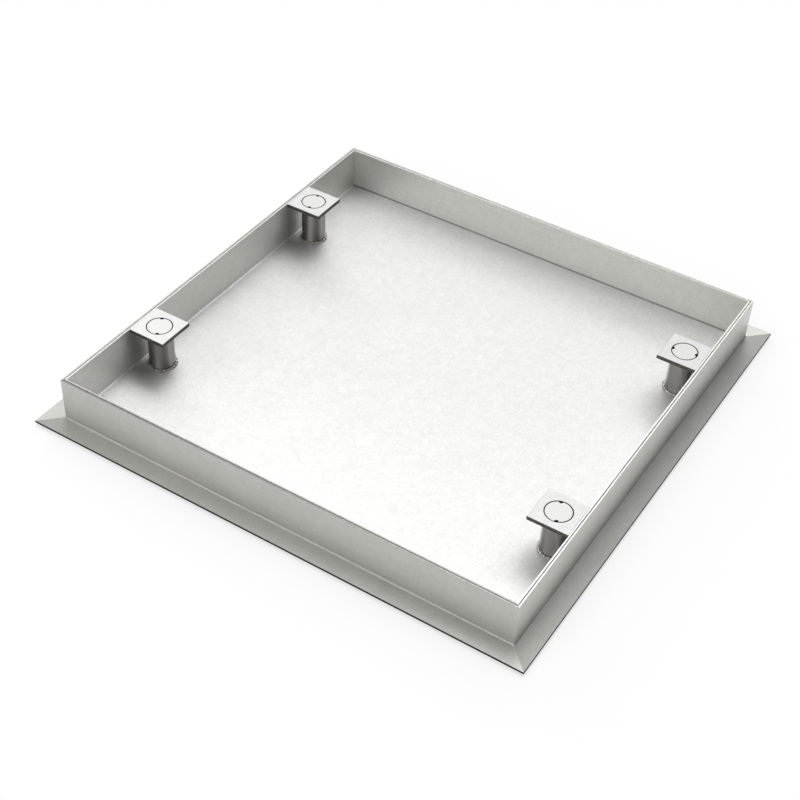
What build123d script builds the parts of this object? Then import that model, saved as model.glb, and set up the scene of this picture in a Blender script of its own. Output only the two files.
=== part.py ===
"""Recessed stainless inspection cover: a flanged frame with a lift-out tray for paving.

Millimetres, +Z up. The origin is the middle of the frame on the surface that its seat bars
stand on. X and Y run along the walls, and the lifting points stand by the X walls.
"""
from build123d import *
import os

# Frame
frame_size = 600.0  # between the outer faces of opposite walls
frame_height = 60.0  # rim above the underside of the flange
frame_sheet = 2.5
flange_reach = 25.0  # flange beyond the outer face of the wall
frame_bend = 2.0  # inside radius of the fold between wall and flange
edge_break = 0.3  # deburred edges of sheet, plates and plugs

# Seat of the tray: flat bars welded under the foot of the frame
seat_bar_width = 35.0
seat_thickness = 3.0
seat_reach = 22.5  # inwards from the inner face of the wall
seal_width = 12.0
seal_thickness = 1.0  # as the tray squeezes it
seal_corner = 6.0  # inner radius of the ring's corners

# Tray
tray_gap = 0.75  # between the frame's wall and the tray's wall
tray_sheet = 2.0
tray_bend = 2.0  # inside radius of the fold between floor and wall
tray_corner = 1.0  # outer radius of the ground corner welds

# Lifting points
lift_pitch = 320.0  # between the two lifting points of one side
plate_size = 50.0
plate_thickness = 5.0
tube_diameter = 31.8
tube_wall = 2.6
weld_leg = 2.5  # along the tube and along the floor

# Plugs and the sockets below them
tube_entry = 2.0  # how far the end of the tube enters the plate
plate_clearance = 0.15  # radial, between the tube and the plate
plug_clearance = 1.0  # radial, between the plug's head and the plate
spigot_length = 12.0
spigot_clearance = 0.25  # radial, between the plug's spigot and the tube
notch_radius = 2.5
socket_length = 22.0
socket_clearance = 0.25  # radial, between the socket and the tube
socket_bore = 14.0  # core of an M16 thread

# Places that follow from the sizes above
flange_bottom = seat_thickness
flange_top = flange_bottom + frame_sheet
rim = flange_bottom + frame_height
wall_outer = frame_size / 2
wall_inner = wall_outer - frame_sheet
flange_edge = wall_outer + flange_reach
tray_outer = wall_inner - tray_gap
tray_inner = tray_outer - tray_sheet
tray_bottom = seat_thickness + seal_thickness
floor_top = tray_bottom + tray_sheet
plate_centre = tray_inner - plate_size / 2
plate_bottom = rim - plate_thickness
tube_top = plate_bottom + tube_entry
tube_radius = tube_diameter / 2
tube_bore = tube_radius - tube_wall
bore_radius = tube_radius + plate_clearance
plug_radius = bore_radius - plug_clearance

# Turn of each side about Z, counted from the side at +X
SIDES = {"right": 0, "back": 90, "left": 180, "front": 270}

# Each lifting point: its X sign, its Y sign and the turn of its plug's notches
LIFT_POINTS = {
    "left_front": (-1, -1, 118),
    "left_back": (-1, 1, 102),
    "right_front": (1, -1, 108),
    "right_back": (1, 1, 7),
}


def corner_at(sketch, x, z):
    """The vertices of an XZ profile at one of its corners."""
    return [v for v in sketch.vertices() if abs(v.X - x) < 1e-6 and abs(v.Z - z) < 1e-6]


def mitred(profile):
    """Carries an XZ profile along the side at +X and cuts both ends at 45 degrees."""
    reach = 2 * flange_edge
    outline = Polyline((0, 0), (reach, -reach), (reach, reach), close=True)
    wedge = extrude(make_face(outline), amount=rim)
    return extrude(profile, amount=reach, both=True) & wedge


def frame_rail():
    """Folded angle: an upright wall with the flange turned outwards at its foot."""
    outline = Polyline(
        (wall_inner, 0, flange_bottom),
        (flange_edge, 0, flange_bottom),
        (flange_edge, 0, flange_top),
        (wall_outer, 0, flange_top),
        (wall_outer, 0, rim),
        (wall_inner, 0, rim),
        close=True,
    )
    profile = make_face(outline)
    profile = fillet(corner_at(profile, wall_outer, flange_top), frame_bend)
    profile = fillet(corner_at(profile, wall_inner, flange_bottom), frame_bend + frame_sheet)
    top_edges = corner_at(profile, wall_outer, rim) + corner_at(profile, wall_inner, rim)
    profile = chamfer(top_edges + corner_at(profile, flange_edge, flange_top), edge_break)
    return mitred(profile)


def seat_bar():
    """Flat bar under the foot of the frame, lapping under the flange and reaching inwards."""
    inner = wall_inner - seat_reach
    outer = inner + seat_bar_width
    outline = Polyline(
        (inner, 0, 0),
        (outer, 0, 0),
        (outer, 0, seat_thickness),
        (inner, 0, seat_thickness),
        close=True,
    )
    return mitred(make_face(outline))


def seat_seal():
    """Closed rubber ring on the seat bars, under the flat of the tray's floor."""
    outer = 2 * (tray_outer - tray_bend - tray_sheet)
    inner = outer - 2 * seal_width
    ring = RectangleRounded(outer, outer, seal_corner + seal_width)
    ring -= RectangleRounded(inner, inner, seal_corner)
    return Pos(0, 0, seat_thickness) * extrude(ring, amount=seal_thickness)


def pan_block(half_width, bottom, bend):
    """Square block up to the rim, with its four lower edges rounded as folds."""
    plan = Rectangle(2 * half_width, 2 * half_width)
    block = Pos(0, 0, bottom) * extrude(plan, amount=rim - bottom)
    return fillet(block.edges().group_by(Axis.Z)[0], bend)


def tray():
    """Folded pan: floor and four walls of one sheet, with the corners welded and ground."""
    plan = RectangleRounded(2 * tray_outer, 2 * tray_outer, tray_corner)
    outside = pan_block(tray_outer, tray_bottom, tray_bend + tray_sheet)
    outside = outside & extrude(plan, amount=rim)
    pan = outside - pan_block(tray_inner, floor_top, tray_bend)
    return chamfer(pan.edges().group_by(Axis.Z)[-1], edge_break)


def lifting_plate():
    """Square plate, flush with the rim, with a bore for the plug."""
    plate = extrude(Rectangle(plate_size, plate_size) - Circle(bore_radius), amount=plate_thickness)
    return Pos(0, 0, plate_bottom) * chamfer(plate.faces().sort_by(Axis.Z)[-1].edges(), edge_break)


def lifting_tube():
    """Round tube from the tray's floor into the bore of the plate."""
    ring = Circle(tube_radius) - Circle(tube_bore)
    return Pos(0, 0, floor_top) * extrude(ring, amount=tube_top - floor_top)


def tube_weld():
    """Fillet bead round the foot of a tube."""
    foot = (tube_radius, 0, floor_top)
    toe = (tube_radius + weld_leg, 0, floor_top)
    top = (tube_radius, 0, floor_top + weld_leg)
    return revolve(make_face(Polyline(foot, toe, top, close=True)), Axis.Z)


def plug(turn):
    """Turned plug: a head flush in the plate on the tube's end, and a spigot in the tube."""
    head = Pos(0, 0, tube_top) * extrude(Circle(plug_radius), amount=rim - tube_top)
    head = chamfer(head.edges().sort_by(Axis.Z)[-1], edge_break)
    spigot = extrude(Circle(tube_bore - spigot_clearance), amount=-spigot_length)
    body = head + Pos(0, 0, tube_top) * spigot
    for side in (0, 180):
        place = Rot(0, 0, turn + side) * Pos(plug_radius, 0, tube_top)
        body -= place * extrude(Circle(notch_radius), amount=rim - tube_top)
    return body


def lifting_socket():
    """Threaded bush on the tray's floor that takes the lifting key."""
    ring = Circle(tube_bore - socket_clearance) - Circle(socket_bore / 2)
    return Pos(0, 0, floor_top) * extrude(ring, amount=socket_length)


def write(shape, node):
    """Writes one node as a STEP file."""
    export_step(shape, f"parts/{node}.step")


os.makedirs("parts", exist_ok=True)

for side, turn in SIDES.items():
    write(Rot(0, 0, turn) * frame_rail(), f"frame_rail_{side}")
    write(Rot(0, 0, turn) * seat_bar(), f"seat_bar_{side}")

write(seat_seal(), "seat_seal")
write(tray(), "tray")

welds = []
for place, (side_x, side_y, notch_turn) in LIFT_POINTS.items():
    spot = Pos(side_x * plate_centre, side_y * lift_pitch / 2, 0)
    write(spot * lifting_plate(), f"lifting_plate_{place}")
    write(spot * lifting_tube(), f"lifting_tube_{place}")
    welds.append(spot * tube_weld())
    write(spot * plug(notch_turn), f"plug_{place}")
    write(spot * lifting_socket(), f"lifting_socket_{place}")

write(Compound(welds), "tube_welds")
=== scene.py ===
"""Dresses a recessed stainless inspection cover and sets it in a plain studio.

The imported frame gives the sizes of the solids. New surfaces are worked out with numpy,
materials are node trees on Object coordinates, and each group of pieces has its own operator.
"""

import math

import bpy
import numpy as np
from mathutils import Matrix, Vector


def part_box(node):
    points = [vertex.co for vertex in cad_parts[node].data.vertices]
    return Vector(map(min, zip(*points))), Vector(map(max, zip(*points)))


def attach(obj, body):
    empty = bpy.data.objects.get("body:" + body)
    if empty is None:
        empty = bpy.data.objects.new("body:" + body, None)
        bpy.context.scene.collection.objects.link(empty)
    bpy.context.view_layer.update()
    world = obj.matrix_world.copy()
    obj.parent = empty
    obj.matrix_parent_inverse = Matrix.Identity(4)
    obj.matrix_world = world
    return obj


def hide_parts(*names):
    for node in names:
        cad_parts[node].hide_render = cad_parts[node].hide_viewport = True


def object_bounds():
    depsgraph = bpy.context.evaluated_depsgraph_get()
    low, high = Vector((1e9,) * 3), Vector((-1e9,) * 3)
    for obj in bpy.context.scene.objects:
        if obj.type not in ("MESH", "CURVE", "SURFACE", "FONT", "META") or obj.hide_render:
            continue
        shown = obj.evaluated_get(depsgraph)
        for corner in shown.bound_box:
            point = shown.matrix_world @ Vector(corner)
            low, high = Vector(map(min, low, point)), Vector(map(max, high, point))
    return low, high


bl_info = {
    "name": "Inspection Cover Dresser",
    "version": (1, 0, 0),
    "blender": (4, 5, 0),
    "location": "3D View > Sidebar > Cover",
    "description": "Finishes a recessed stainless inspection cover and lights it",
    "category": "Object",
}

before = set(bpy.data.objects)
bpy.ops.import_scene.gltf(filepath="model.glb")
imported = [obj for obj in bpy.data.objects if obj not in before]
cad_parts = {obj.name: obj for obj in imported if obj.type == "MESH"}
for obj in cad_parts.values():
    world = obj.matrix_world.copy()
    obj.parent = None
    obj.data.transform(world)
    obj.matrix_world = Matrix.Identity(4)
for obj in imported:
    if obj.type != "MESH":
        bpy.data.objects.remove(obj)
CAD_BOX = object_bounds()

SIDES = ("front", "right", "back", "left")
PLACES = ("left_front", "left_back", "right_front", "right_back")
MM = 0.001
BODY = "root"

# Sheet and tube, as thick as in the source of the solids
FRAME_SHEET = 2.5 * MM
TUBE_WALL = 2.6 * MM

# Made surfaces
TUBE_STEPS, TUBE_ROWS = 192, 25  # round a tube and up it
TUBE_UNEVEN = 0.04 * MM
SEAM_DEPTH, SEAM_TURN = 0.05 * MM, 0.03  # ground flat of a tube's seam, half-width in radians
BEAD_BITE, BEAD_HEEL = 0.3 * MM, 0.5 * MM  # how far a bead's top and heel reach into its tube

# Limits at which a material changes, out from the middle of the cover. The tray's fold runs from
# 292.75 to 294.75 mm on its inside.
FOLD_FROM = 293.1 * MM  # low in the fold, where the painted shade and highlight along it begin
WALL_FROM = 293.5 * MM  # low in the fold, where the walls' painted lighter colour and their lines begin
RIGHT_FROM = 298.5 * MM  # within the right rail's wall, so it takes in outer face and flange

# Bands that a material sets apart, by their height or width
FOLD_RISE = 1.6 * MM  # painted shade and highlight along the tray's folds, above its floor
FLANGE_BLEND = (0.5 * MM, 1.5 * MM)  # above the flange, where its tone gives way to the wall's
RIM_BAND = 0.35 * MM  # sheared top of the sheets
CUT_BAND = 0.4 * MM  # laser-cut edge of the flange, and the top of a plug's head, below which the plug is painted shade
SAWN_BAND = 0.05 * MM  # sawn end of a tube, painted near black as painted shade under the plug

# Shares of a normal that tell a plate's faces apart
CUT_BELOW = 0.3  # less of Z than this is a cut face
TOP_ABOVE = 0.95  # less of Z than this is off the top, on the deburred edge or a cut face
OUTER_ABOVE = 0.995  # more of X or Y than this is an outer side, and not the bore

# Patterns of the finishes, at a usual size for each unless the comment says otherwise
BLOTCH = 9 * MM  # about half a finger's width
LINE_GAP = 1.6 * MM  # rolling lines, coarser than they are
CLOUD = 70 * MM  # wiped patches
SHEAR_MARK = 1.3 * MM  # drag marks of the shear, coarser than they are
CUT_GAP, CUT_LENGTH = 0.7 * MM, 9 * MM  # draglines of the laser, coarser than they are
RING_GAP = 0.6 * MM  # facing rings, coarser than a finishing cut leaves them
TOOL_MARK = 0.9 * MM  # uneven bands of the facing cut
DRAW_GAP, DRAW_LENGTH = 1.5 * MM, 80 * MM  # draw lines down a tube, coarser than they are
BUFFED = 14 * MM  # clouds that polishing leaves
WELD_RIPPLE, WELD_SCALE = 0.9 * MM, 2.6 * MM  # fine ripples, and patches of grey scale
PORE = 0.8 * MM  # of the sponge rubber

# Tones and roughness that make up a finish
MEAN_TONE = 0.98
CLOUD_ROUGHNESS = 0.03
WORN_ROUGHNESS = 0.06
CUT_ROUGHNESS = 0.55
SHEAR_TONE = 0.15
RING_SHARE = 0.15  # of the facing rings in a plug's relief, beside its tool marks

# Tones set to meet the photo's brightness, all painted light and shade: on the rims, along the
# tray's folds, on the right rail, on the plates' deburred edges and on the tubes' sawn ends. Folds
# and edges add to 1.
RIM_PAINTED_LIGHT_AND_SHADE = {"left": 0.94, "right": 1.1, "front": 0.62, "back": 0.88}
FOLD_SHADE_AND_HIGHLIGHT = {"end": -0.6, "side": 0.25}
RIGHT_WALL_PAINTED_LIGHT, RIGHT_FLANGE_PAINTED_SHADE = 1.3, 0.78
EDGE_PAINTED_SHADE = -0.6
SAWN_END_PAINTED_SHADE = 0.06

# Spans that are mapped to tones: the one noise keeps to, the one between bare weld metal and
# grey scale, and one across the cover's middle
NOISE_SPAN = {"From Min": 0.3, "From Max": 0.7}
SCALE_SPAN = {"From Min": 0.45, "From Max": 0.65}
MIDDLE_SPAN = {"From Min": -0.2, "From Max": 0.2}

# Trace of X in the direction across the rolling lines, for faces they meet square
TRACE = (0.02, 0, 0)

FLOOR_REACH = 600.0  # metres, so that the floor ends near the horizon
CLIP_END = 2000.0  # metres, past the floor's corners

# Glows of the room: azimuth from +Y towards +X and elevation in degrees, tightness and strength
GLOWS = (
    (-15, 34, 40, 2.27),
    (-30, 66, 60, 3.35),
    (-10, 66, 60, 2.54),
    (10, 66, 60, 1.57),
    (0, 78, 60, 7.40),
    (22, 46, 90, 1.57),
    (-165, 20, 50, 0.20),
    (-150, 34, 50, 0.69),
    (-135, 50, 50, 3.35),
    (60, 45, 25, 0.53),
    (180, 30, 25, 1.98),
    (-120, 45, 25, 1.08),
    (0, 65, 12, 0.78),
    (180, 8, 8, 0.86),
    (-60, 8, 8, 2.05),
)


def node_centre(node):
    """Middle of a node's box."""
    low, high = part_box(node)
    return (low + high) / 2


TUBE_LOW, TUBE_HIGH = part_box("lifting_tube_left_back")
TUBE_RADIUS = (TUBE_HIGH.x - TUBE_LOW.x) / 2
TUBE_FOOT = TUBE_LOW.z
TUBE_TOP = TUBE_HIGH.z
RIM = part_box("tray")[1].z
FLANGE_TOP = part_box("frame_rail_front")[0].z + FRAME_SHEET
FLANGE_EDGE = CAD_BOX[1].x
LIFT_SPOTS = {place: node_centre(f"lifting_tube_{place}") for place in PLACES}


class SheetFinish(bpy.types.PropertyGroup):
    """Finish of the frame, the tray and the plates."""

    frame_steel: bpy.props.StringProperty(
        name="Frame steel", description="Colour of the frame's sheet, as sRGB hex",
        default="#C6C6C1")
    tray_steel: bpy.props.StringProperty(
        name="Tray steel", description="Colour of the tray's sheet, as sRGB hex", default="#E2E2E1")
    # Painted light: the tray's walls are a brighter, yellower copy of its floor's steel
    wall_steel_painted_lighter: bpy.props.StringProperty(
        name="Wall steel", description="Colour of the tray's walls, as sRGB hex", default="#EBEBE6")
    plate_steel: bpy.props.StringProperty(
        name="Plate steel", description="Colour of the lifting plates' tops, as sRGB hex",
        default="#DADAD9")
    # Dark oxide of laser-cut edges deepened with painted shade; below the plugs' heads it is
    # painted shade alone
    edge_oxide_and_shade: bpy.props.StringProperty(
        name="Cut edge", description="Colour of the oxide on a laser-cut edge, as sRGB hex",
        default="#2C2926")
    # Oxide of the plates' laser-cut sides, darkened with painted shade
    plate_side_oxide_and_shade: bpy.props.StringProperty(
        name="Plate edge", description="Colour of a plate's laser-cut sides, as sRGB hex",
        default="#66645E")
    rubber: bpy.props.StringProperty(
        name="Rubber", description="Colour of the seal, as sRGB hex", default="#242424")
    roughness: bpy.props.FloatProperty(
        name="Frame roughness", description="Mean roughness of the frame's mill finish",
        default=0.40, min=0, max=1, subtype="FACTOR")
    tray_roughness: bpy.props.FloatProperty(
        name="Tray roughness", description="Mean roughness of the tray's mill finish", default=0.48,
        min=0, max=1, subtype="FACTOR")
    flange_tone: bpy.props.FloatProperty(
        name="Flange tone", description="Brightness of the handled flange beside the wall",
        default=0.85, min=0, max=1, subtype="FACTOR")
    streak: bpy.props.FloatProperty(
        name="Streak",
        description="How much more the sheet scatters across its rolling lines than along",
        default=0.78, min=0, max=1, subtype="FACTOR")
    haze: bpy.props.FloatProperty(
        name="Haze", description="Share of the light that the sheet's dull skin scatters every way",
        default=0.22, min=0, max=1, subtype="FACTOR")
    grain: bpy.props.FloatProperty(
        name="Grain", description="Size of the mill finish's mottle", default=2.4 * MM,
        subtype="DISTANCE", unit="LENGTH", precision=5)
    rolling: bpy.props.FloatProperty(
        name="Rolling lines", description="Length of the lines that rolling leaves",
        default=90 * MM, subtype="DISTANCE", unit="LENGTH")
    warp: bpy.props.FloatProperty(
        name="Warp", description="Width of the slow waves in the sheet", default=200 * MM,
        subtype="DISTANCE", unit="LENGTH")


class TubeShape(bpy.types.PropertyGroup):
    """Tubes and the weld beads round their feet."""

    polished: bpy.props.StringProperty(
        name="Polished steel", description="Colour of the polished tube, as sRGB hex",
        default="#93928F")
    bead: bpy.props.StringProperty(
        name="Weld metal", description="Colour of the bare bead, as sRGB hex", default="#C4C2BC")
    leg: bpy.props.FloatProperty(
        name="Bead leg", description="Mean leg of the fillet weld", default=2.5 * MM,
        subtype="DISTANCE", unit="LENGTH", precision=5)
    lump: bpy.props.FloatProperty(
        name="Lump pitch", description="Distance from one dab of filler to the next",
        default=5.2 * MM, subtype="DISTANCE", unit="LENGTH", precision=5)


class StudioSet(bpy.types.PropertyGroup):
    """Camera, floor and the room's light."""

    camera_place: bpy.props.FloatVectorProperty(
        name="Camera", description="Place of the camera", default=(0.6864, -1.2000, 1.2039),
        subtype="TRANSLATION", unit="LENGTH", precision=4)
    azimuth: bpy.props.FloatProperty(
        name="Azimuth", description="Turn of the view from +Y towards -X",
        default=math.radians(30.72), subtype="ANGLE", unit="ROTATION")
    elevation: bpy.props.FloatProperty(
        name="Elevation", description="How far the camera looks down", default=math.radians(41.91),
        subtype="ANGLE", unit="ROTATION")
    roll: bpy.props.FloatProperty(
        name="Roll", description="Turn of the picture about the view", default=math.radians(2.73),
        subtype="ANGLE", unit="ROTATION")
    lens: bpy.props.FloatProperty(
        name="Lens", description="Focal length on a 36 mm sensor", default=67.56,
        subtype="DISTANCE_CAMERA")
    floor: bpy.props.StringProperty(
        name="Floor", description="Colour of the studio floor, as sRGB hex", default="#F7F7F7")
    clean_floor: bpy.props.FloatProperty(
        name="Clean floor", description="Share of plain white in the floor that is seen",
        default=0.6, min=0, max=1, subtype="FACTOR")
    light: bpy.props.FloatProperty(
        name="Light", description="Strength of all the room's light together", default=1.0, min=0)


def linear(hex_colour):
    """Linear RGBA of an sRGB hex colour."""
    parts = np.array([int(hex_colour[i:i + 2], 16) / 255 for i in (1, 3, 5)])
    toe = parts / 12.92
    curve = ((parts + 0.055) / 1.055) ** 2.4
    return (*np.where(parts <= 0.04045, toe, curve), 1.0)


def add(tree, kind, inputs=None, **settings):
    """Adds one node with its settings.

    An input is a value, a socket, or a node, which stands for its first output.
    """
    node = tree.nodes.new(kind)
    for name, value in settings.items():
        setattr(node, name, value)
    for socket, value in (inputs or {}).items():
        if isinstance(value, bpy.types.Node):
            value = value.outputs[0]
        if isinstance(value, bpy.types.NodeSocket):
            tree.links.new(value, node.inputs[socket])
        else:
            node.inputs[socket].default_value = value
    return node


def material(name):
    """New empty material with its tree, its Object coordinates and its output node."""
    made = bpy.data.materials.new(name)
    made.use_nodes = True
    tree = made.node_tree
    tree.nodes.clear()
    return made, tree, add(tree, "ShaderNodeTexCoord").outputs["Object"]


def metal(tree, colour, roughness, normal):
    """Closes a tree with a bare metal shader, and returns the shader."""
    shader = add(tree, "ShaderNodeBsdfPrincipled", {
        "Base Color": colour, "Metallic": 1.0, "Roughness": roughness, "Normal": normal})
    add(tree, "ShaderNodeOutputMaterial", {"Surface": shader})
    return shader


def rolled_metal(tree, colour, roughness, normal, rolling, settings):
    """Closes a tree with sheet metal, which scatters light most across its rolling lines.

    That direction is the normal crossed with the rolling direction, with a trace of X for the
    faces that the rolling direction meets square. The dull skin adds a haze that scatters every
    way.
    """
    shader = metal(tree, colour, roughness, normal)
    facing = add(tree, "ShaderNodeNewGeometry").outputs["Normal"]
    across = add(tree, "ShaderNodeVectorMath", {0: facing, 1: rolling}, operation="CROSS_PRODUCT")
    across = add(tree, "ShaderNodeVectorMath", {0: across, 1: TRACE}, operation="ADD")
    tree.links.new(across.outputs[0], shader.inputs["Tangent"])
    shader.inputs["Anisotropic"].default_value = settings.streak
    shader.inputs["Metallic"].default_value = 1 - settings.haze


def give(objects, finish):
    """Puts one material in every slot of the objects."""
    for piece in objects:
        piece.data.materials.clear()
        piece.data.materials.append(finish)


def cad(*nodes):
    """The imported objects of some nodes."""
    return [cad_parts[node] for node in nodes]


def mill_finish(tree, place, across, along, settings, roughness):
    """Tone, roughness and relief of cold rolled 304 sheet with a 2B finish.

    Skin-passed sheet is softly bright. The eye sees a fine mottle of grain, drawn here a little
    coarser than it is, blotches half a finger wide, faint lines along the rolling direction,
    cloudy patches where it was wiped, and a slow warp that bends what it mirrors.
    """
    grain = add(tree, "ShaderNodeTexNoise", {
        "Vector": place, "Scale": 1 / settings.grain, "Detail": 2.0})
    blotch = add(tree, "ShaderNodeTexNoise", {
        "Vector": place, "Scale": 1 / BLOTCH, "Detail": 2.0})
    flow = add(tree, "ShaderNodeCombineXYZ", {"X": across, "Y": along})
    rolled = add(tree, "ShaderNodeVectorMath", {
        0: flow, 1: (1 / LINE_GAP, 1 / settings.rolling, 0)}, operation="MULTIPLY")
    lines = add(tree, "ShaderNodeTexNoise", {
        "Vector": rolled, "Scale": 1.0, "Detail": 3.0}, noise_dimensions="2D")
    clouds = add(tree, "ShaderNodeTexNoise", {
        "Vector": place, "Scale": 1 / CLOUD, "Detail": 3.0})
    slow = add(tree, "ShaderNodeTexNoise", {
        "Vector": place, "Scale": 1 / settings.warp, "Detail": 1.0})
    tone = None
    for pattern, swing in ((grain, 0.05), (blotch, 0.03), (lines, 0.015), (clouds, 0.025)):
        share = add(tree, "ShaderNodeMapRange", {
            "Value": pattern, **NOISE_SPAN, "To Min": 1 - swing, "To Max": 1 + swing})
        tone = add(tree, "ShaderNodeMath", {0: share, 1: tone or MEAN_TONE}, operation="MULTIPLY")
    rough = add(tree, "ShaderNodeMapRange", {
        "Value": clouds, **NOISE_SPAN,
        "To Min": roughness - CLOUD_ROUGHNESS, "To Max": roughness + CLOUD_ROUGHNESS})
    warp = add(tree, "ShaderNodeBump", {"Height": slow, "Strength": 1.0, "Distance": 1.0 * MM})
    relief = add(tree, "ShaderNodeBump", {
        "Height": grain, "Normal": warp, "Strength": 1.0, "Distance": 0.02 * MM})
    return tone, rough, relief


def cut_face(tree, place, oxide_and_shade_colour, shiny, cut, tone, rough):
    """Colour and roughness that turn to those of a cut edge where the mask cut is one.

    A laser-cut edge is grey-brown oxide with fine upright draglines, so it is dull and dark; the
    colour given for it also holds painted shade.
    """
    drag = add(tree, "ShaderNodeMapping", {
        "Vector": place, "Scale": (1 / CUT_GAP, 1 / CUT_GAP, 1 / CUT_LENGTH)})
    lines = add(tree, "ShaderNodeTexNoise", {"Vector": drag, "Scale": 1.0, "Detail": 2.0})
    shade = add(tree, "ShaderNodeMapRange", {
        "Value": lines, **NOISE_SPAN, "To Min": 0.7, "To Max": 1.4})
    bright = add(tree, "ShaderNodeVectorMath", {
        0: linear(shiny)[:3], "Scale": tone}, operation="SCALE")
    oxide = add(tree, "ShaderNodeVectorMath", {0: oxide_and_shade_colour, "Scale": shade}, operation="SCALE")
    colour = add(tree, "ShaderNodeMix", {0: cut, 6: bright, 7: oxide}, data_type="RGBA")
    rough = add(tree, "ShaderNodeMix", {0: cut, 2: rough, 3: CUT_ROUGHNESS})
    return colour.outputs[2], rough


def rim_marks_and_painted_light(tree, place, split, on_side, tone):
    """Tone of the sheared rims, with painted light and shade: darkest on the front, brightest on
    the right.

    Shearing leaves short drag marks across the edge, brown-grey where they were not rubbed down.
    """
    marks = add(tree, "ShaderNodeVectorMath", {
        0: place, "Scale": 1 / SHEAR_MARK}, operation="SCALE")
    hatch = add(tree, "ShaderNodeTexNoise", {"Vector": marks, "Scale": 1.0, "Detail": 1.0})
    hatch = add(tree, "ShaderNodeMapRange", {
        "Value": hatch, **NOISE_SPAN, "To Min": -SHEAR_TONE, "To Max": SHEAR_TONE})
    # Painted light and shade: a tone for each rim, darkest on the front and brightest on the right
    side = add(tree, "ShaderNodeMapRange", {
        "Value": split.outputs["X"], **MIDDLE_SPAN,
        "To Min": RIM_PAINTED_LIGHT_AND_SHADE["left"], "To Max": RIM_PAINTED_LIGHT_AND_SHADE["right"]})
    end = add(tree, "ShaderNodeMapRange", {
        "Value": split.outputs["Y"], **MIDDLE_SPAN,
        "To Min": RIM_PAINTED_LIGHT_AND_SHADE["front"], "To Max": RIM_PAINTED_LIGHT_AND_SHADE["back"]})
    shade = add(tree, "ShaderNodeMix", {0: on_side, 2: end, 3: side})
    shade = add(tree, "ShaderNodeMath", {0: shade, 1: hatch}, operation="ADD")
    top = add(tree, "ShaderNodeMath", {
        0: split.outputs["Z"], 1: RIM - RIM_BAND}, operation="GREATER_THAN")
    shade = add(tree, "ShaderNodeMix", {0: top, 2: 1.0, 3: shade})
    return add(tree, "ShaderNodeMath", {0: tone, 1: shade}, operation="MULTIPLY")


def painted_fold_shade_and_highlight(tree, split, far_x, far_y, tone):
    """Tone of the tray's folds: painted shade along the folds at the ends and a painted highlight
    along those at the sides, as in the photo."""
    low = add(tree, "ShaderNodeMath", {
        0: split.outputs["Z"], 1: TUBE_FOOT + FOLD_RISE}, operation="LESS_THAN")
    for far, line in ((far_y, FOLD_SHADE_AND_HIGHLIGHT["end"]), (far_x, FOLD_SHADE_AND_HIGHLIGHT["side"])):
        near = add(tree, "ShaderNodeMath", {0: far, 1: FOLD_FROM}, operation="GREATER_THAN")
        fold = add(tree, "ShaderNodeMath", {0: near, 1: low}, operation="MULTIPLY")
        shade = add(tree, "ShaderNodeMath", {0: fold, 1: line, 2: 1.0}, operation="MULTIPLY_ADD")
        tone = add(tree, "ShaderNodeMath", {0: tone, 1: shade}, operation="MULTIPLY")
    return tone


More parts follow.
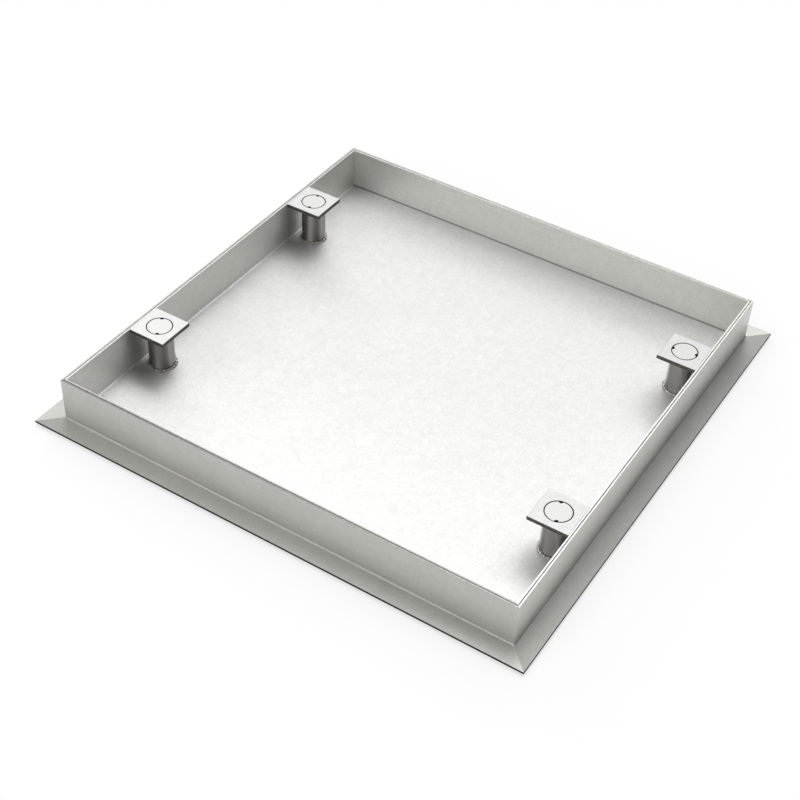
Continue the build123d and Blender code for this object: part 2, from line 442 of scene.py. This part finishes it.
def folded_frame_sheet(settings):
    """2.5 mm 304 sheet of the frame, rolled along each rail, with its flange dulled by handling.

    The flange's outer edge is laser cut, its dark oxide deepened with painted shade, and the rim is
    sheared and deburred. The right rail has a brighter wall and a darker flange than the others, as
    in
    the photo: painted light on the wall and painted shade on the flange.
    """
    made, tree, place = material("frame_sheet_2b")
    split = add(tree, "ShaderNodeSeparateXYZ", {"Vector": place})
    far_x = add(tree, "ShaderNodeMath", {0: split.outputs["X"]}, operation="ABSOLUTE")
    far_y = add(tree, "ShaderNodeMath", {0: split.outputs["Y"]}, operation="ABSOLUTE")
    on_side = add(tree, "ShaderNodeMath", {0: far_x, 1: far_y}, operation="GREATER_THAN")
    reach = add(tree, "ShaderNodeMath", {0: far_x, 1: far_y}, operation="MAXIMUM")
    across = add(tree, "ShaderNodeMath", {0: reach, 1: split.outputs["Z"]}, operation="ADD")
    along = add(tree, "ShaderNodeMix", {0: on_side, 2: split.outputs["X"], 3: split.outputs["Y"]})
    tone, rough, relief = mill_finish(tree, place, across, along, settings, settings.roughness)
    tone = rim_marks_and_painted_light(tree, place, split, on_side, tone)
    flange = add(tree, "ShaderNodeMapRange", {
        "Value": split.outputs["Z"], "From Min": FLANGE_TOP + FLANGE_BLEND[0],
        "From Max": FLANGE_TOP + FLANGE_BLEND[1], "To Min": 1.0, "To Max": 0.0})
    dull = add(tree, "ShaderNodeMapRange", {
        "Value": flange, "To Min": 1.0, "To Max": settings.flange_tone})
    tone = add(tree, "ShaderNodeMath", {0: tone, 1: dull}, operation="MULTIPLY")
    # Painted light on the right rail's outer wall, and painted shade on its flange
    beside = add(tree, "ShaderNodeMath", {
        0: split.outputs["X"], 1: RIGHT_FROM}, operation="GREATER_THAN")
    right = add(tree, "ShaderNodeMath", {0: beside, 1: on_side}, operation="MULTIPLY")
    strip = add(tree, "ShaderNodeMapRange", {
        "Value": flange, "To Min": RIGHT_WALL_PAINTED_LIGHT, "To Max": RIGHT_FLANGE_PAINTED_SHADE})
    strip = add(tree, "ShaderNodeMix", {0: right, 2: 1.0, 3: strip})
    tone = add(tree, "ShaderNodeMath", {0: tone, 1: strip}, operation="MULTIPLY")
    worn = add(tree, "ShaderNodeMath", {
        0: flange, 1: WORN_ROUGHNESS, 2: rough}, operation="MULTIPLY_ADD")
    # The flange's laser-cut edge: dark oxide deepened with painted shade
    cut = add(tree, "ShaderNodeMath", {
        0: reach, 1: FLANGE_EDGE - CUT_BAND}, operation="GREATER_THAN")
    oxide = linear(settings.edge_oxide_and_shade)[:3]
    colour, rough = cut_face(tree, place, oxide, settings.frame_steel, cut, tone, worn)
    on_end = add(tree, "ShaderNodeMath", {0: 1.0, 1: on_side}, operation="SUBTRACT")
    rolling = add(tree, "ShaderNodeCombineXYZ", {"X": on_end, "Y": on_side})
    rolled_metal(tree, colour, rough, relief, rolling, settings)
    return made


def folded_tray_sheet(settings):
    """2 mm 304 sheet of the tray, rolled along Y, so the lines run up its front and back walls.

    Its walls are painted a little yellower and brighter than its floor, as in the photo: painted
    light.
    """
    made, tree, place = material("tray_sheet_2b")
    split = add(tree, "ShaderNodeSeparateXYZ", {"Vector": place})
    far_x = add(tree, "ShaderNodeMath", {0: split.outputs["X"]}, operation="ABSOLUTE")
    far_y = add(tree, "ShaderNodeMath", {0: split.outputs["Y"]}, operation="ABSOLUTE")
    up_side = add(tree, "ShaderNodeMath", {0: far_x, 1: WALL_FROM}, operation="GREATER_THAN")
    up_end = add(tree, "ShaderNodeMath", {0: far_y, 1: WALL_FROM}, operation="GREATER_THAN")
    across = add(tree, "ShaderNodeMath", {
        0: up_side, 1: split.outputs["Z"], 2: split.outputs["X"]}, operation="MULTIPLY_ADD")
    along = add(tree, "ShaderNodeMath", {
        0: up_end, 1: split.outputs["Z"], 2: split.outputs["Y"]}, operation="MULTIPLY_ADD")
    tone, rough, relief = mill_finish(tree, place, across, along, settings, settings.tray_roughness)
    on_side = add(tree, "ShaderNodeMath", {0: far_x, 1: far_y}, operation="GREATER_THAN")
    tone = rim_marks_and_painted_light(tree, place, split, on_side, tone)
    tone = painted_fold_shade_and_highlight(tree, split, far_x, far_y, tone)
    # Painted light on the walls, over the floor's steel
    wall = add(tree, "ShaderNodeMath", {0: up_side, 1: up_end}, operation="MAXIMUM")
    steel = add(tree, "ShaderNodeMix", {
        0: wall, 6: linear(settings.tray_steel), 7: linear(settings.wall_steel_painted_lighter)},
        data_type="RGBA").outputs[2]
    colour = add(tree, "ShaderNodeVectorMath", {0: steel, "Scale": tone}, operation="SCALE")
    rolled_metal(tree, colour, rough, relief, (0, 1, 0), settings)
    return made


def cut_plate(settings):
    """5 mm 304 plate, laser cut: mill finish on top, oxide with painted shade on its sides, bore
    and below.

    Its deburred edge is painted darker than the top, painted shade that outlines the plate. Normals
    tell the faces apart: the top looks up, the deburred edge leans, and the outer sides look along
    X or Y.
    """
    made, tree, place = material("laser_cut_plate")
    split = add(tree, "ShaderNodeSeparateXYZ", {"Vector": place})
    tone, rough, relief = mill_finish(
        tree, place, split.outputs["X"], split.outputs["Y"], settings, settings.tray_roughness)
    normal = add(tree, "ShaderNodeNewGeometry").outputs["Normal"]
    facing = add(tree, "ShaderNodeSeparateXYZ", {"Vector": normal})
    cut = add(tree, "ShaderNodeMath", {
        0: facing.outputs["Z"], 1: CUT_BELOW}, operation="LESS_THAN")
    deburred = add(tree, "ShaderNodeMath", {
        0: facing.outputs["Z"], 1: TOP_ABOVE}, operation="LESS_THAN")
    # Painted shade: the leaning deburred edge is made darker than the top
    dull = add(tree, "ShaderNodeMath", {
        0: deburred, 1: EDGE_PAINTED_SHADE, 2: 1.0}, operation="MULTIPLY_ADD")
    tone = add(tree, "ShaderNodeMath", {0: tone, 1: dull}, operation="MULTIPLY")
    flat_x = add(tree, "ShaderNodeMath", {0: facing.outputs["X"]}, operation="ABSOLUTE")
    flat_y = add(tree, "ShaderNodeMath", {0: facing.outputs["Y"]}, operation="ABSOLUTE")
    square = add(tree, "ShaderNodeMath", {0: flat_x, 1: flat_y}, operation="MAXIMUM")
    outer = add(tree, "ShaderNodeMath", {0: square, 1: OUTER_ABOVE}, operation="GREATER_THAN")
    # Oxide of the cut faces, deepened with painted shade
    oxide = add(tree, "ShaderNodeMix", {
        0: outer, 6: linear(settings.edge_oxide_and_shade), 7: linear(settings.plate_side_oxide_and_shade)},
        data_type="RGBA").outputs[2]
    colour, rough = cut_face(tree, place, oxide, settings.plate_steel, cut, tone, rough)
    rolled_metal(tree, colour, rough, relief, (0, 1, 0), settings)
    return made


def turned_plug(settings):
    """Lathe-turned 304 bar: facing rings round each plug's own axis, drawn coarse so they show.

    The photo shows the heads no brighter than the plates, so they scatter light as the plates do.
    """
    made, tree, place = material("turned_plug")
    split = add(tree, "ShaderNodeSeparateXYZ", {"Vector": place})
    spot = LIFT_SPOTS["right_back"]
    off_x = add(tree, "ShaderNodeMath", {0: split.outputs["X"]}, operation="ABSOLUTE")
    off_x = add(tree, "ShaderNodeMath", {0: off_x, 1: spot.x}, operation="SUBTRACT")
    off_y = add(tree, "ShaderNodeMath", {0: split.outputs["Y"]}, operation="ABSOLUTE")
    off_y = add(tree, "ShaderNodeMath", {0: off_y, 1: spot.y}, operation="SUBTRACT")
    out = add(tree, "ShaderNodeCombineXYZ", {"X": off_x, "Y": off_y})
    radius = add(tree, "ShaderNodeVectorMath", {0: out}, operation="LENGTH").outputs["Value"]
    turns = add(tree, "ShaderNodeMath", {
        0: radius, 1: 2 * math.pi / RING_GAP}, operation="MULTIPLY")
    rings = add(tree, "ShaderNodeMath", {0: turns}, operation="SINE")
    tool = add(tree, "ShaderNodeCombineXYZ", {"X": radius})
    bands = add(tree, "ShaderNodeTexNoise", {
        "Vector": tool, "Scale": 1 / TOOL_MARK, "Detail": 2.0})
    height = add(tree, "ShaderNodeMath", {
        0: rings, 1: RING_SHARE, 2: bands}, operation="MULTIPLY_ADD")
    relief = add(tree, "ShaderNodeBump", {"Height": height, "Strength": 1.0, "Distance": 0.02 * MM})
    tone = add(tree, "ShaderNodeMapRange", {
        "Value": bands, **NOISE_SPAN, "To Min": 0.93, "To Max": 1.02})
    colour = add(tree, "ShaderNodeVectorMath", {
        0: linear(settings.plate_steel)[:3], "Scale": tone}, operation="SCALE")
    # Painted shade: below the top of its head, the plug's notches, gap and socket take the dark
    # edge colour
    below = add(tree, "ShaderNodeMath", {
        0: split.outputs["Z"], 1: RIM - CUT_BAND}, operation="LESS_THAN")
    colour = add(tree, "ShaderNodeMix", {
        0: below, 6: colour, 7: linear(settings.edge_oxide_and_shade)}, data_type="RGBA").outputs[2]
    rolled_metal(tree, colour, settings.tray_roughness, relief, (0, 1, 0), settings)
    return made


def polished_tube(settings):
    """Drawn and polished 304 tube: bright, with long faint draw lines down its length.

    Its sawn upper end is painted near black, painted shade in the recess under the plug.
    """
    made, tree, place = material("polished_tube")
    down = add(tree, "ShaderNodeMapping", {
        "Vector": place, "Scale": (1 / DRAW_GAP, 1 / DRAW_GAP, 1 / DRAW_LENGTH)})
    lines = add(tree, "ShaderNodeTexNoise", {"Vector": down, "Scale": 1.0, "Detail": 3.0})
    clouds = add(tree, "ShaderNodeTexNoise", {
        "Vector": place, "Scale": 1 / BUFFED, "Detail": 3.0})
    rough = add(tree, "ShaderNodeMapRange", {
        "Value": clouds, **NOISE_SPAN, "To Min": 0.13, "To Max": 0.19})
    tone = add(tree, "ShaderNodeMapRange", {
        "Value": lines, **NOISE_SPAN, "To Min": 0.92, "To Max": 1.04})
    height = add(tree, "ShaderNodeSeparateXYZ", {"Vector": place}).outputs["Z"]
    # Painted shade: the sawn end, seen down the plug's notches, is made near black
    sawn = add(tree, "ShaderNodeMath", {
        0: height, 1: TUBE_TOP - SAWN_BAND}, operation="GREATER_THAN")
    tone = add(tree, "ShaderNodeMix", {0: sawn, 2: tone, 3: SAWN_END_PAINTED_SHADE})
    colour = add(tree, "ShaderNodeVectorMath", {
        0: linear(settings.polished)[:3], "Scale": tone}, operation="SCALE")
    relief = add(tree, "ShaderNodeBump", {"Height": lines, "Strength": 1.0, "Distance": 0.01 * MM})
    metal(tree, colour.outputs[0], rough, relief)
    return made


def weld_metal(settings):
    """Bare stainless weld metal: bright where it froze smooth, with grey scale between the dabs."""
    made, tree, place = material("bare_weld_metal")
    fine = add(tree, "ShaderNodeTexNoise", {
        "Vector": place, "Scale": 1 / WELD_RIPPLE, "Detail": 3.0})
    scale = add(tree, "ShaderNodeTexNoise", {
        "Vector": place, "Scale": 1 / WELD_SCALE, "Detail": 3.0})
    grey = add(tree, "ShaderNodeMapRange", {
        "Value": scale, **SCALE_SPAN, "To Min": 1.0, "To Max": 0.45})
    colour = add(tree, "ShaderNodeVectorMath", {
        0: linear(settings.bead)[:3], "Scale": grey}, operation="SCALE")
    rough = add(tree, "ShaderNodeMapRange", {
        "Value": scale, **SCALE_SPAN, "To Min": 0.14, "To Max": 0.38})
    relief = add(tree, "ShaderNodeBump", {"Height": fine, "Strength": 1.0, "Distance": 0.12 * MM})
    metal(tree, colour, rough, relief)
    return made


def sponge_rubber(settings):
    """Black EPDM sponge strip, die cut: matt, with open pores."""
    made, tree, place = material("epdm_sponge")
    pores = add(tree, "ShaderNodeTexVoronoi", {"Vector": place, "Scale": 1 / PORE})
    # Painted shade: each pore is darker towards its middle
    tone = add(tree, "ShaderNodeMapRange", {
        "Value": pores, "From Min": 0.0, "From Max": 0.4, "To Min": 0.4, "To Max": 1.0})
    colour = add(tree, "ShaderNodeVectorMath", {
        0: linear(settings.rubber)[:3], "Scale": tone}, operation="SCALE")
    relief = add(tree, "ShaderNodeBump", {"Height": pores, "Strength": 1.0, "Distance": 0.2 * MM})
    shader = add(tree, "ShaderNodeBsdfPrincipled", {
        "Base Color": colour, "Roughness": 0.85, "Normal": relief})
    add(tree, "ShaderNodeOutputMaterial", {"Surface": shader})
    return made


def grid_mesh(name, points, close_u=False, close_v=False):
    """Mesh of quads over a grid of points, rows by columns by xyz, closed either way if asked."""
    rows, columns = points.shape[:2]
    index = np.arange(rows * columns).reshape(rows, columns)
    down = np.roll(index, -1, 0) if close_u else index[1:]
    here = index if close_u else index[:-1]
    quads = np.stack([here, down, np.roll(down, -1, 1), np.roll(here, -1, 1)], -1)
    if not close_v:
        quads = quads[:, :-1]
    mesh = bpy.data.meshes.new(name)
    mesh.from_pydata(points.reshape(-1, 3), [], quads.reshape(-1, 4))
    mesh.shade_smooth()
    piece = bpy.data.objects.new(name, mesh)
    bpy.context.scene.collection.objects.link(piece)
    return piece


def waves(angle, seed, terms=9):
    """Smooth uneven value round a ring, about -1 to 1: a sum of sines with phases from a seed."""
    rng = np.random.default_rng(seed)
    order = np.arange(1, terms + 1)[:, None]
    phase = rng.uniform(0, 2 * math.pi, (terms, 1))
    share = rng.uniform(0.4, 1.0, (terms, 1)) / np.sqrt(order)
    return (share * np.sin(order * angle[None, :] + phase)).sum(0) / share.sum() * 2


def tube_surface(name, spot, seed):
    """Tube wall as a closed section carried round the axis.

    The outer radius is the nominal one less a few hundredths where the drawn wall is uneven, with
    a narrow flat where the tube's own seam was ground.
    """
    low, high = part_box(f"lifting_tube_{name}")
    angle = np.linspace(0, 2 * math.pi, TUBE_STEPS, endpoint=False)
    uneven = TUBE_UNEVEN * (waves(angle, seed) - 1)
    seam = SEAM_DEPTH * np.exp(-((angle - math.pi) / SEAM_TURN) ** 2)
    outer = TUBE_RADIUS + uneven - seam
    inner = TUBE_RADIUS - TUBE_WALL
    height = np.linspace(low.z, high.z, TUBE_ROWS)
    radius = np.concatenate([
        np.full((TUBE_ROWS, 1), 1.0) * outer, np.full((TUBE_ROWS, len(angle)), inner)])
    level = np.concatenate([height, height[::-1]])[:, None] * np.ones_like(angle)
    points = np.stack([spot.x + radius * np.cos(angle), spot.y + radius * np.sin(angle), level], -1)
    return grid_mesh(f"tube_{name}", points[::-1], close_u=True, close_v=True)


def bead_surface(name, spot, settings, seed):
    """Weld bead as a fillet section carried round the tube's foot.

    The section is a quarter of an ellipse bulged outwards. Its leg swells with each dab of filler,
    as the size of a cosine of half the dab's turn, and the dabs differ in size by a sum of sines.
    Finer ripples follow the dabs as arcs that bow along the weld.
    """
    steps, across = 720, 15
    angle = np.linspace(0, 2 * math.pi, steps, endpoint=False)
    around = np.linspace(0, 1, across)[:, None]
    dabs = round(2 * math.pi * TUBE_RADIUS / settings.lump)
    shift = 0.25 * waves(angle, seed + 1)  # uneven spacing of the dabs
    bow = 0.35 * (1 - (2 * around - 1) ** 2)  # of the ripples along the weld
    turn = dabs * angle / 2 + shift + bow
    lump = np.abs(np.cos(turn)) ** 0.8
    uneven = 1 + 0.22 * waves(angle, seed)
    ripple = 0.05 * np.sin(dabs * 3 * angle + 6 * bow)
    leg = settings.leg * uneven * (0.82 + 0.34 * lump + ripple)
    corner = around * math.pi / 2
    bulge = leg * (0.86 + 0.14 * np.sin(2 * corner))
    radius = TUBE_RADIUS - BEAD_BITE + (bulge + BEAD_BITE) * np.cos(corner)
    level = TUBE_FOOT + bulge * np.sin(corner)
    points = np.stack([spot.x + radius * np.cos(angle), spot.y + radius * np.sin(angle), level], -1)
    inner = TUBE_RADIUS - BEAD_HEEL
    heel = np.stack([
        spot.x + inner * np.cos(angle), spot.y + inner * np.sin(angle),
        np.full(steps, TUBE_FOOT)], -1)
    points = np.concatenate([points, heel[None]])
    return grid_mesh(f"weld_{name}", points[::-1], close_u=True, close_v=True)


class COVER_OT_sheet_metal(bpy.types.Operator):
    """Gives the frame, the tray, the plates and the plugs their mill finish"""

    bl_idname = "cover.sheet_metal"
    bl_label = "Sheet Metal"

    def execute(self, context):
        settings = context.scene.cover_sheet
        give(cad(*(f"{part}_{side}" for side in SIDES for part in ("frame_rail", "seat_bar"))),
             folded_frame_sheet(settings))
        give(cad("tray"), folded_tray_sheet(settings))
        give(cad(*(f"lifting_plate_{place}" for place in PLACES)), cut_plate(settings))
        give(cad(*(f"{part}_{place}" for place in PLACES for part in ("plug", "lifting_socket"))),
             turned_plug(settings))
        give(cad("seat_seal"), sponge_rubber(settings))
        return {"FINISHED"}


class COVER_OT_tubes(bpy.types.Operator):
    """Makes the four polished tubes and the weld beads round their feet"""

    bl_idname = "cover.tubes"
    bl_label = "Tubes And Welds"

    def execute(self, context):
        settings = context.scene.cover_tubes
        polish = polished_tube(settings)
        bead_metal = weld_metal(settings)
        for seed, place in enumerate(PLACES):
            tube = tube_surface(place, LIFT_SPOTS[place], seed)
            give([tube], polish)
            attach(tube, BODY)
            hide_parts(f"lifting_tube_{place}")
            bead = bead_surface(place, LIFT_SPOTS[place], settings, 10 + seed)
            give([bead], bead_metal)
            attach(bead, BODY)
            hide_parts("tube_welds")
        return {"FINISHED"}


class COVER_OT_studio(bpy.types.Operator):
    """Makes the floor, the room's light and the camera"""

    bl_idname = "cover.studio"
    bl_label = "Studio"

    def execute(self, context):
        settings = context.scene.cover_studio
        scene = context.scene
        self.make_floor(settings)
        self.make_world(scene, settings)
        self.make_camera(scene, settings)
        scene.view_settings.view_transform = "Standard"
        return {"FINISHED"}

    def make_floor(self, settings):
        """Flat square of floor just under the seat bars.

        The camera and mirrored rays see it whiter than it is lit. It runs out to the horizon, so
        it is also the background, but nothing above the horizon is white.
        """
        depth = -0.1 * MM
        side = np.linspace(-FLOOR_REACH, FLOOR_REACH, 17)
        x, y = np.meshgrid(side, side, indexing="ij")
        floor = grid_mesh("studio_floor", np.stack([x, y, np.full_like(x, depth)], -1))
        made, tree, _ = material("matt_white_floor")
        matt = add(tree, "ShaderNodeBsdfDiffuse", {"Color": linear(settings.floor)})
        white = add(tree, "ShaderNodeEmission", {"Strength": 1.0})
        path = add(tree, "ShaderNodeLightPath")
        seen = add(tree, "ShaderNodeMath", {
            0: path.outputs["Is Camera Ray"], 1: path.outputs["Is Glossy Ray"]},
            operation="MAXIMUM")
        seen = add(tree, "ShaderNodeMath", {
            0: seen, 1: path.outputs["Is Transmission Ray"]}, operation="MAXIMUM")
        share = add(tree, "ShaderNodeMath", {
            0: seen, 1: settings.clean_floor}, operation="MULTIPLY")
        shader = add(tree, "ShaderNodeMixShader", {0: share, 1: matt, 2: white})
        add(tree, "ShaderNodeOutputMaterial", {"Surface": shader})
        give([floor], made)

    def make_world(self, scene, settings):
        """Light of a white room, made of soft glows.

        Each is its strength times the exponential of its tightness times the cosine less one.
        """
        world = bpy.data.worlds.new("soft_room")
        scene.world = world
        world.use_nodes = True
        tree = world.node_tree
        tree.nodes.clear()
        direction = add(tree, "ShaderNodeTexCoord").outputs["Generated"]
        total = None
        for azimuth, elevation, tightness, strength in GLOWS:
            turn, rise = math.radians(azimuth), math.radians(elevation)
            level = math.cos(rise)
            towards = (math.sin(turn) * level, math.cos(turn) * level, math.sin(rise))
            cosine = add(tree, "ShaderNodeVectorMath", {
                0: direction, 1: towards}, operation="DOT_PRODUCT")
            fall = add(tree, "ShaderNodeMath", {
                0: cosine.outputs["Value"], 1: tightness, 2: -tightness}, operation="MULTIPLY_ADD")
            glow = add(tree, "ShaderNodeMath", {0: fall}, operation="EXPONENT")
            total = add(tree, "ShaderNodeMath", {
                0: glow, 1: strength * settings.light, 2: total or 0.0}, operation="MULTIPLY_ADD")
        background = add(tree, "ShaderNodeBackground", {"Color": (1, 1, 1, 1), "Strength": total})
        add(tree, "ShaderNodeOutputWorld", {"Surface": background})

    def make_camera(self, scene, settings):
        """Camera from its place, its heading and its roll about the line of sight."""
        data = bpy.data.cameras.new("photo_camera")
        data.lens = settings.lens
        data.sensor_width = 36
        data.clip_end = CLIP_END
        camera = bpy.data.objects.new("photo_camera", data)
        turn = Matrix.Rotation(settings.azimuth, 4, "Z")
        tip = Matrix.Rotation(math.pi / 2 - settings.elevation, 4, "X")
        roll = Matrix.Rotation(settings.roll, 4, "Z")
        camera.matrix_world = Matrix.Translation(settings.camera_place) @ turn @ tip @ roll
        scene.collection.objects.link(camera)
        scene.camera = camera


class COVER_PT_sidebar(bpy.types.Panel):
    """Lists the steps in the 3D view's sidebar"""

    bl_label = "Inspection Cover"
    bl_idname = "COVER_PT_sidebar"
    bl_space_type = "VIEW_3D"
    bl_region_type = "UI"
    bl_category = "Cover"

    def draw(self, context):
        for step in STEPS:
            self.layout.operator(step.bl_idname)


STEPS = (COVER_OT_sheet_metal, COVER_OT_tubes, COVER_OT_studio)
GROUPS = {"cover_sheet": SheetFinish, "cover_tubes": TubeShape, "cover_studio": StudioSet}
CLASSES = (*GROUPS.values(), *STEPS, COVER_PT_sidebar)


def register():
    """Registers the classes and hangs each property group on the scene."""
    for item in CLASSES:
        bpy.utils.register_class(item)
    for name, group in GROUPS.items():
        setattr(bpy.types.Scene, name, bpy.props.PointerProperty(type=group))


def unregister():
    """Takes the property groups and the classes away again."""
    for name in GROUPS:
        delattr(bpy.types.Scene, name)
    for item in reversed(CLASSES):
        bpy.utils.unregister_class(item)


def main():
    """Runs every step in order."""
    register()
    for step in STEPS:
        group, name = step.bl_idname.split(".")
        getattr(getattr(bpy.ops, group), name)()


if __name__ == "__main__":
    main()
